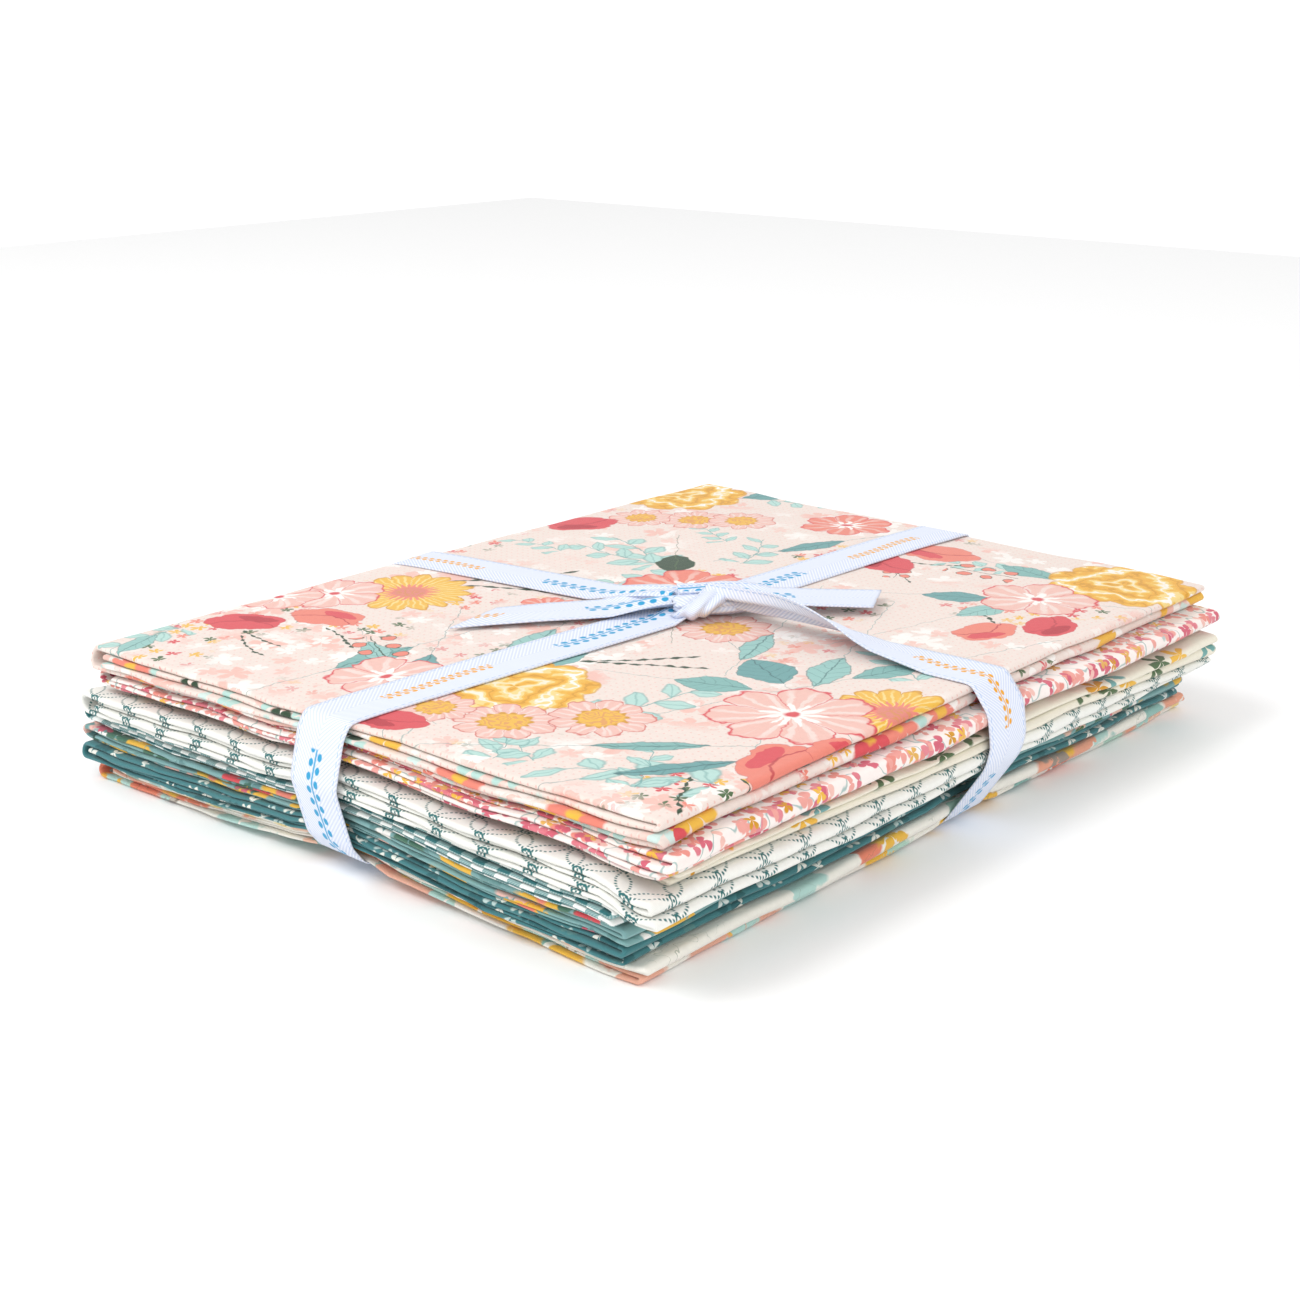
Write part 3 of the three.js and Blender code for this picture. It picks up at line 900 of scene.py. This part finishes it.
ARCS_MM = 17.0                # from one ring to the next
ARCS_GROUND, ARCS_INK = "F7F7F1", "2F6F70"
DOTS_PER_RING = 44


def arcs_print():
    """Rings of dots that overlap, linked by small outlined leaves, on cream."""
    design = make_print("dotted_arcs", ARCS_GROUND, 0.25)
    for shift in (0.0, 0.5):
        u, v = design.split(design.at)
        x, y = ((way / ARCS_MM + shift).frac() - 0.5 for way in (u, v))
        radius, angle, edge = design.petals(x, y, 1, 0.0)
        dots = ((angle * (DOTS_PER_RING / (2 * math.pi))).frac() - 0.5).line(0.27, 0.2)
        design.paint(ARCS_INK, (radius - 0.47).line(0.020, 0.02) * dots)
        a, b = x.abs() - 0.5, y.abs()
        lens = 0.075 - (a * a * 3.5 + b * b * 0.8).power(0.5)
        design.paint(ARCS_GROUND, lens.inside(0.02))
        design.paint(ARCS_INK, lens.line(0.020, 0.014))
        design.paint(ARCS_INK, (0.018 - from_origin(a, b)).inside(0.012))
    return weave(design)


CHECK_MM = 4.6
HATCH_MM = 0.9


def gingham_print():
    """Two sets of stripes in a fine diagonal hatch, darker where they cross."""
    design = make_print("gingham", "FAFBF8", 0.12)
    u, v = design.split(design.at)
    across, along = (((way / (2 * CHECK_MM)).frac() - 0.5).inside(0.03) for way in (u, v))
    hatch = (((u + v) / HATCH_MM).frac() - 0.5).inside(0.2) * 0.25 + 0.62
    design.paint("489091", (across + along - across * along * 2.0) * hatch)
    design.paint("2F6F73", across * along)
    return weave(design)


def sage_print():
    design = make_print("sage_floral", "86B2B2", 1.4)
    design.scatter(9.0, 0.5, ("6C9A99", "93B8B4", "5F8D8E"), 3, 0.6, 0.46, amount=0.8)
    design.scatter(25.0, 0.6, (MUSTARD, PINK, WHITE, "F2C8B4", MUSTARD), 7, 0.25, 0.46, heart=CORAL)
    design.scatter(15.0, 0.3, ("4F7A66", MOSS, "3E6B5B"), 2, 0.7, 0.42)
    design.scatter(11.0, 0.2, (RED, ROSE, MUSTARD, WHITE), 5, 0.3, 0.38)
    return weave(design)


def dark_teal_print():
    design = make_print("dark_teal", "488388", 0.5)
    design.scatter(8.5, 0.6, ("F4F4EA", "E3ECE8", "C9DCD8"), 4, 0.5, 0.33)
    design.scatter(5.4, 0.25, ("346A6F", "5A8C8C"), 2, 0.6, 0.6)
    return weave(design)


def large_floral_print():
    design = make_print("large_floral", "FAF6EC", 2.2)
    design.scatter(32.0, 0.6, (MINT, "9CC9C0", "B9DCCB", "8DBDB5"), 2, 0.75, 0.5, stretch=1.5)
    design.scatter(46.0, 0.55, ("F08A6E", MUSTARD, "F2A98C", BUTTER, "F0B49C"), 6, 0.28, 0.48, heart=MUSTARD)
    design.scatter(24.0, 0.3, ("F7C9B0", "A29488", MUSTARD, "EE8468", MINT), 5, 0.4, 0.36)
    ribs = (design.patches * 20.0).sin().line(0.08, 0.08)
    design.paint(MOSS, ribs * (design.noise(30.0, 1.0, 4.0) - 0.58).inside(0.04) * 0.5)
    return weave(design)


def wrong_side(name, colour):
    """The unprinted side, where the print only just shows through."""
    design = make_print(name + "_wrong", colour, 0.5)
    design.paint(WHITE, (design.noise(6.0, 2.0, 2.0) - 0.45).inside(0.3) * 0.5)
    return weave(design)


PRINTS = {                    # each cut's print, and the colour of its wrong side
    "cut_1_blush_floral": (blush_print, "F4DDD0"),
    "cut_2_ditsy_floral": (ditsy_print, "F3D9D6"),
    "cut_3_ivory": (ivory_print, "F2EAD4"),
    "cut_4_dotted_arcs": (arcs_print, "F3EFE0"),
    "cut_5_gingham": (gingham_print, "BFD8D6"),
    "cut_6_sage_floral": (sage_print, "A9C4C0"),
    "cut_7_dark_teal": (dark_teal_print, "7FA3A3"),
    "cut_8_large_floral": (large_floral_print, "F6EBD8"),
}

# ---------- Making the cuts ----------

TILES = (6, 5)                # tiles of the top print, across and along


def tile_top(mesh, u, v):
    """Gives the faces of the top their tile's own print."""
    middle_u = np.repeat((u[:-1] + u[1:]) / 2, len(v) - 1) / MM
    middle_v = np.tile((v[:-1] + v[1:]) / 2, len(u) - 1) / MM
    width, depth = (PLAN[STACK[-1]][1, 1] - PLAN[STACK[-1]][0, 0]) / MM
    column = np.clip(np.floor(middle_u / width * TILES[0]), 0, TILES[0] - 1)
    row = np.clip(np.floor(middle_v / depth * TILES[1]), 0, TILES[1] - 1)
    near = ((np.abs(middle_u - width / 2) < width / 2 + TILE_MARGIN_MM)
            & (np.abs(middle_v - depth / 2) < depth / 2 + TILE_MARGIN_MM))
    slots = np.zeros(len(mesh.polygons), np.int32)
    mesh.polygons.foreach_get("material_index", slots)
    tile = np.array([width / TILES[0], depth / TILES[1]])
    for i, j in np.ndindex(TILES):
        mesh.materials.append(blush_tile(tile * (i, j), tile * (i + 1, j + 1)))
        inside = np.flatnonzero(near & (column == i) & (row == j))
        slots[inside] = len(mesh.materials) - 1
    mesh.polygons.foreach_set("material_index", slots)


cloth_points = []
for name in CUTS:
    grid, u, v, bake = fold_cut(name)
    cloth_points.append(grid.reshape(-1, 3))
    cloth_name = name.replace("cut_", "cloth_")
    piece = add_piece(sheet_mesh(cloth_name, grid, u, v, bake, CLOTH_THICKNESS))
    make, wrong_colour = PRINTS[name]
    piece.data.materials.append(make())
    piece.data.materials.append(wrong_side(name, wrong_colour))
    if name == STACK[-1]:
        tile_top(piece.data, u, v)
    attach(piece, "root")
    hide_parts(name)
cloth_points = np.concatenate(cloth_points)

# ---------- The ribbon ----------

RIBBON_CLEARANCE = 0.55 * MM  # from the cloth to the middle of the ribbon
RIBBON_STEP = 0.9 * MM
ACROSS = np.linspace(-1, 1, 17)
CROSSING_PLACE = np.array([*CROSSING, STACK_TOP])
RUN_START = 0.0055            # the runs begin this far from the crossing, inside the knot
TURN_START = 0.03             # the runs turn down further out than this
CREST = 0.98 * STACK_TOP      # a run is over the top where it is higher than this
BOTTOM_STEP_OVER = 0.55 * MM  # the front-to-back run crosses under the stack above the other one

# For each run: width at the knot, distance at which it is flat and full width, lift and pleats at
# the knot, and how far its near edge is turned up, in degrees, at distances in millimetres.
Run = namedtuple("Run", "width flat lift pleats tilt")
LEVEL = ((0, 0), (1, 0))
RUNS = {
    "left": Run(0.0185, 0.018, 0.0006, 1, LEVEL),
    "right": Run(0.0085, 0.034, 0.0030, 2, LEVEL),
    "back": Run(0.0140, 0.034, 0.0016, 1, LEVEL),
    "front": Run(0.0080, 0.070, 0.0012, 1, ((0, 58), (34, 44), (60, 24), (76, 9), (96, 0))),
}

# For each tail: turn in degrees from +X, length, how far its cut end slants, its heights along it
# in millimetres, and its width at the knot.
TAILS = (
    (141, 0.070, -0.0085, (3.0, 2.8, 2.2, 1.9, 1.8, 1.5, 1.0), 0.0170),
    (-46, 0.061, -0.0030, (4.0, 4.6, 4.6, 4.2, 3.6, 3.2, 2.8), 0.0100),
)
TAIL_START = -0.0040          # the tails begin inside the knot
TAIL_FLAT = 0.022             # distance over which a tail opens to its full width
TAIL_POINTS = 60

# Where each piece of the ribbon is read from, along its flat length.
RUN_PRINT_SHIFT = 0.013
FRONT_PRINT_SHIFT = 1.013
TAIL_PRINT_SHIFT = 0.028
KNOT_PRINT_SHIFT = 0.5        # a place with no sprig
SPRIG_BLUE, SPRIG_ORANGE = "2E9CCB", "E8A21E"
SPRIGS_MM = ((11, 55, SPRIG_BLUE), (93, 41, SPRIG_ORANGE), (163, 55, SPRIG_BLUE),
             (1093, 41, SPRIG_ORANGE), (1150, 50, SPRIG_BLUE))


def hull(points):
    """The convex hull of points in a plane, counter-clockwise."""
    points = points[np.lexsort((points[:, 1], points[:, 0]))]

    def chain(ordered):
        kept = []
        for p in ordered:
            while len(kept) > 1 and np.cross(kept[-1] - kept[-2], p - kept[-2]) <= 0:
                kept.pop()
            kept.append(p)
        return kept[:-1]

    return np.array(chain(points) + chain(points[::-1]))


def resample(path, step):
    """Points a step apart along a path, with its corners eased."""
    lengths = path_lengths(path)
    places = np.linspace(0, lengths[-1], int(round(lengths[-1] / step)) + 1)
    even = np.stack([np.interp(places, lengths, column) for column in path.T], axis=1)
    for _ in range(3):
        even[1:-1] = (even[:-2] + 2 * even[1:-1] + even[2:]) / 4
    return even


def heading(degrees):
    """Unit vectors outward along a direction in plan, and to its right."""
    angle = math.radians(degrees)
    outward = np.array([math.cos(angle), math.sin(angle), 0.0])
    return outward, np.array([outward[1], -outward[0], 0.0])


def run_section(outward, sideways):
    """A run's taut path from over the crossing, round the stack's edge, to under the crossing."""
    offset = cloth_points[:, :2] - CROSSING
    along, beside = offset @ outward[:2], offset @ sideways[:2]
    near = (np.abs(beside) < RIBBON_WIDTH * 0.55) & (along > -0.02)
    section = np.stack([along[near], cloth_points[near, 2]], axis=1)
    top, bottom = section[:, 1].max(), section[:, 1].min()
    edge = hull(section)
    edge = edge[edge[:, 0] > TURN_START]
    edge = edge[np.argsort(-np.arctan2(edge[:, 1] - STACK_TOP / 2, edge[:, 0] - 0.05))]
    path = np.concatenate([[(0.0, max(top, edge[0, 1]))], edge, [(0.0, min(bottom, edge[-1, 1]))]])
    tangent = np.gradient(path, axis=0)
    tangent /= np.linalg.norm(tangent, axis=1, keepdims=True)
    path = path + RIBBON_CLEARANCE * np.stack([-tangent[:, 1], tangent[:, 0]], axis=1)
    path[[0, -1], 0] = 0.0
    return resample(path, RIBBON_STEP)


def strip(centres, sides, ups, widths, pleats):
    """A ribbon's surface from its centre line, and its flat coordinates along and across."""
    taken_in = np.sqrt(np.maximum(RIBBON_WIDTH ** 2 - widths ** 2, 0))
    depth = (taken_in / (4 * pleats))[:, None] * 0.8
    cup = depth * (0.5 + 0.5 * np.cos(2 * math.pi * pleats * ACROSS[None, :]))
    grid = (centres[:, None] + sides[:, None] * (ACROSS[None, :, None] * widths[:, None, None] / 2)
            + ups[:, None] * cup[..., None])
    return grid, path_lengths(centres), ACROSS * RIBBON_WIDTH / 2


def run_strip(name, step_over):
    """One run, from the knot to under the crossing."""
    shape = RUNS[name]
    outward, sideways = heading(RUN_TURNS[name])
    path = run_section(outward, sideways)
    beyond_knot = (path[1:, 0] > RUN_START) | (path[1:, 1] < STACK_TOP / 2)
    away, height = path[1:][beyond_knot].T
    over_top, under = height > CREST, height < STACK_TOP / 2
    distance = np.where(over_top, away, 1.0)
    gathered = smooth(1 - (distance - RUN_START) / (shape.flat - RUN_START))
    widths = RIBBON_WIDTH + gathered * (shape.width - RIBBON_WIDTH)
    tilt_at, tilt_to = np.array(shape.tilt).T
    tilt = np.radians(np.where(over_top, np.interp(distance / MM, tilt_at, tilt_to), 0.0))
    rise = gathered * shape.lift + np.sin(tilt) * widths / 2
    rise = rise + step_over * np.where(under, smooth((0.024 - away) / 0.010), 0.0)
    centres = np.stack([CROSSING[0] + away * outward[0], CROSSING[1] + away * outward[1],
                        height + rise], axis=1)
    sides = np.cos(tilt)[:, None] * sideways + np.sin(tilt)[:, None] * UP
    ups = np.cos(tilt)[:, None] * UP - np.sin(tilt)[:, None] * sideways
    grid, lengths, across = strip(centres, sides, ups, widths, shape.pleats)
    shift = FRONT_PRINT_SHIFT if name == "front" else RUN_PRINT_SHIFT
    return grid, lengths + shift, across


def tail_strip(turn, length, slant, heights, root_width):
    """A tail of the ribbon from the knot to its slanted cut end, over the arms beside it."""
    outward, side = heading(turn)
    distance = np.linspace(TAIL_START, length, TAIL_POINTS)
    share = distance / length
    gathered = smooth(1 - (distance - RUN_START) / TAIL_FLAT)
    widths = RIBBON_WIDTH + gathered * (root_width - RIBBON_WIDTH)
    height = np.interp(share, np.linspace(0, 1, len(heights)), heights) * MM
    centres = CROSSING_PLACE + distance[:, None] * outward + height[:, None] * UP
    sides, ups = (np.tile(way, (TAIL_POINTS, 1)) for way in (side, UP))
    grid, lengths, across = strip(centres, sides, ups, widths, 1)
    shift = slant * ACROSS[None, :] * smooth((share - 0.5) * 2)[:, None]
    return grid + shift[..., None] * outward, lengths + TAIL_PRINT_SHIFT, across


KNOT_PLACE = CROSSING_PLACE + np.array([-0.0003, -0.0078, 0.0])
KNOT_TURN = math.radians(-42)
KNOT_AXIS = np.array([math.cos(KNOT_TURN), math.sin(KNOT_TURN), 0.0])       # along the band's width
KNOT_FORWARD = np.array([-math.sin(KNOT_TURN), math.cos(KNOT_TURN), 0.0])   # the way the band turns
BAND_CENTRE = KNOT_PLACE + 0.0041 * UP
BAND_TALL = 0.0042
CORE_CENTRE = KNOT_PLACE + 0.0038 * UP
CORE_HALF_LENGTH = 0.0130
CORE_WIDE, CORE_TALL = 0.0060, 0.0030


def knot_band():
    """The ribbon's turn over the knot: creased, and further right at its top and back than its front."""
    angles = np.linspace(-0.5 * math.pi, 1.5 * math.pi, 97)
    grid = np.zeros((len(angles), len(ACROSS), 3))
    barrel = 1.0 - 0.26 * np.abs(ACROSS) ** 2.4
    for i, angle in enumerate(angles):
        turned, raised = math.cos(angle), math.sin(angle)
        near = 0.5 - 0.5 * turned
        spread = 0.0068 - 0.0010 * near
        skew = 0.0044 * (raised + turned) - 0.0006
        crease = 0.11 * np.cos(ACROSS * 8.0 + 2.2 * math.sin(angle - 0.6)) * (0.5 + 0.5 * raised ** 2)
        reach = barrel * (1.0 + crease)
        grid[i] = (BAND_CENTRE + KNOT_AXIS * (ACROSS * spread + skew)[:, None]
                   + KNOT_FORWARD * ((0.0102 + 0.0010 * near) * reach * turned)[:, None]
                   + UP * (BAND_TALL * reach * raised)[:, None])
    lengths = path_lengths(grid[:, len(ACROSS) // 2])
    return grid[::-1], lengths + KNOT_PRINT_SHIFT, ACROSS * RIBBON_WIDTH / 2


def knot_core():
    """The gathered ribbon inside the knot, showing as pleats at its two ends."""
    around = np.linspace(0, 2 * math.pi, 57)
    along = np.linspace(-1, 1, 25)
    grid = np.zeros((len(along), len(around), 3))
    for i, place in enumerate(along):
        taper = math.sqrt(max(1.0 - (abs(place) * 0.93) ** 3.0, 0.0))
        radius = taper * (1.0 + 0.10 * np.cos(around * 7 + place * 1.5))
        grid[i] = (CORE_CENTRE + KNOT_AXIS * (place * CORE_HALF_LENGTH + 0.0015)
                   + KNOT_FORWARD * (CORE_WIDE * radius * np.cos(around))[:, None]
                   + UP * (CORE_TALL * radius * np.sin(around))[:, None])
    lengths = (along + 1) * CORE_HALF_LENGTH
    return grid, lengths + KNOT_PRINT_SHIFT, (around / math.pi - 1) * RIBBON_WIDTH / 2


def join(meshes, name):
    """One object from several meshes."""
    parts = [add_piece(mesh) for mesh in meshes]
    bpy.ops.object.select_all(action="DESELECT")
    for part in parts:
        part.select_set(True)
    bpy.context.view_layer.objects.active = parts[0]
    bpy.ops.object.join()
    parts[0].name = name
    parts[0].data.name = name
    return parts[0]


RIBBON_SURFACE = {"Roughness": 0.65, "Specular IOR Level": 0.3, "Sheen Weight": 0.15,
                  "Sheen Roughness": 0.4}
RIBBON_BUMP = {"Strength": 0.6, "Distance": 0.12 * MM}
RIB_MM = 1.5                  # from one herringbone rib to the next
STITCH_MM = 2.6               # from one stitch to the next


def ribbon_print(name, sprigs):
    """White herringbone twill with painted shade in the grooves between its ribs, a dashed stitch near each
    edge, and small printed sprigs.
    """
    design = make_print(name, "E8ECF7", 0.15)
    along, across = design.split(design.raw)
    ribs = ((along + across.abs() * 1.1) / RIB_MM).frac() - 0.5
    rib_height = (0.25 - ribs.abs()).inside(0.25)
    # Painted shade: the grooves between the ribs are painted blue-grey where the relief dips.
    design.paint("C6D0E8", (1.0 - rib_height) * 0.75)
    design.paint("CFD7EC", across.line(0.12, 0.2) * 0.5)
    dashes = ((along / STITCH_MM).frac() - 0.5).line(0.3, 0.06)
    design.paint("9DBBE6", (across.abs() - 8.7).line(0.16, 0.12) * dashes * 0.85)
    for start, length, colour in sprigs:
        sprig(design, (along - start) / length, across / length, colour)
    height = rib_height + design.noise(0.6, 1.0, 2.0) * 0.5
    return finish_surface(design, design.colour, RIBBON_SURFACE, height, RIBBON_BUMP)


strips = [run_strip("left", 0.0), run_strip("right", 0.0)]
strips += [run_strip("back", BOTTOM_STEP_OVER), run_strip("front", BOTTOM_STEP_OVER)]
strips += [tail_strip(*tail) for tail in TAILS]
strips += [knot_band(), knot_core()]
parts = []
for index, (grid, u, v) in enumerate(strips):
    bake = ((u - u[0]) / (u[-1] - u[0]), (v - v[0]) / (v[-1] - v[0]))
    bake_row = (index / len(strips), (index + 0.96) / len(strips))
    parts.append(sheet_mesh("strip", grid, u, v, bake, RIBBON_THICKNESS, bake_row))
ribbon = join(parts, "ribbon")
ribbon.data.materials.clear()
ribbon.data.materials.append(ribbon_print("ribbon_face", SPRIGS_MM))
ribbon.data.materials.append(ribbon_print("ribbon_back", ()))
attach(ribbon, "root")
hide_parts("ribbon_wrap", "ribbon_knot", "ribbon_tail_left", "ribbon_tail_right")

# ---------- Floor, light and camera ----------

CAMERA_TURN = math.radians(-49.34)
CAMERA_DIP = math.radians(17.07)
CAMERA_PLACE = (-0.4958, -0.4170, 0.2325)
LENS_MM = 57.68
FLOOR_SIZE = 3.0
LIGHTS = (                    # name, place, size and energy
    ("key", (-1.1, 0.6, 1.6), 1.0, 15.0),
    ("fill", (-0.9, -1.5, 1.1), 1.4, 9.0),
)
WORLD_LIGHT = 0.85
BACKDROP_LIFT = 0.25          # how much brighter the backdrop looks than the light that it gives


def add_object(name, data, place, rotation):
    obj = bpy.data.objects.new(name, data)
    obj.location = place
    obj.rotation_euler = rotation
    bpy.context.scene.collection.objects.link(obj)
    return obj


def add_camera():
    data = bpy.data.cameras.new("camera")
    data.lens = LENS_MM
    data.sensor_width = 36.0
    rotation = (math.pi / 2 - CAMERA_DIP, 0.0, CAMERA_TURN)
    bpy.context.scene.camera = add_object("camera", data, CAMERA_PLACE, rotation)


def add_floor():
    bpy.ops.mesh.primitive_plane_add(size=FLOOR_SIZE, location=(0, 0, 0))
    floor = bpy.context.object
    floor.name = "floor"
    material = bpy.data.materials.new("floor")
    material.use_nodes = True
    shader = material.node_tree.nodes["Principled BSDF"]
    shader.inputs["Base Color"].default_value = (1.0, 1.0, 1.0, 1)
    shader.inputs["Roughness"].default_value = 0.9
    floor.data.materials.append(material)


def add_light(name, place, size, energy):
    """A round lamp aimed at the origin."""
    data = bpy.data.lights.new(name, "AREA")
    data.shape = "DISK"
    data.size = size
    data.energy = energy
    add_object(name, data, place, (-Vector(place)).to_track_quat("-Z", "Y").to_euler())


def add_world():
    world = bpy.data.worlds.new("studio")
    world.use_nodes = True
    background = world.node_tree.nodes["Background"]
    background.inputs["Color"].default_value = (1, 1, 1, 1)
    seen = node(world.node_tree, "ShaderNodeLightPath", {})
    strength = seen * BACKDROP_LIFT + WORLD_LIGHT
    world.node_tree.links.new(strength.socket, background.inputs["Strength"])
    bpy.context.scene.world = world


add_camera()
add_floor()
for light in LIGHTS:
    add_light(*light)
add_world()
bpy.context.scene.view_settings.view_transform = "Standard"
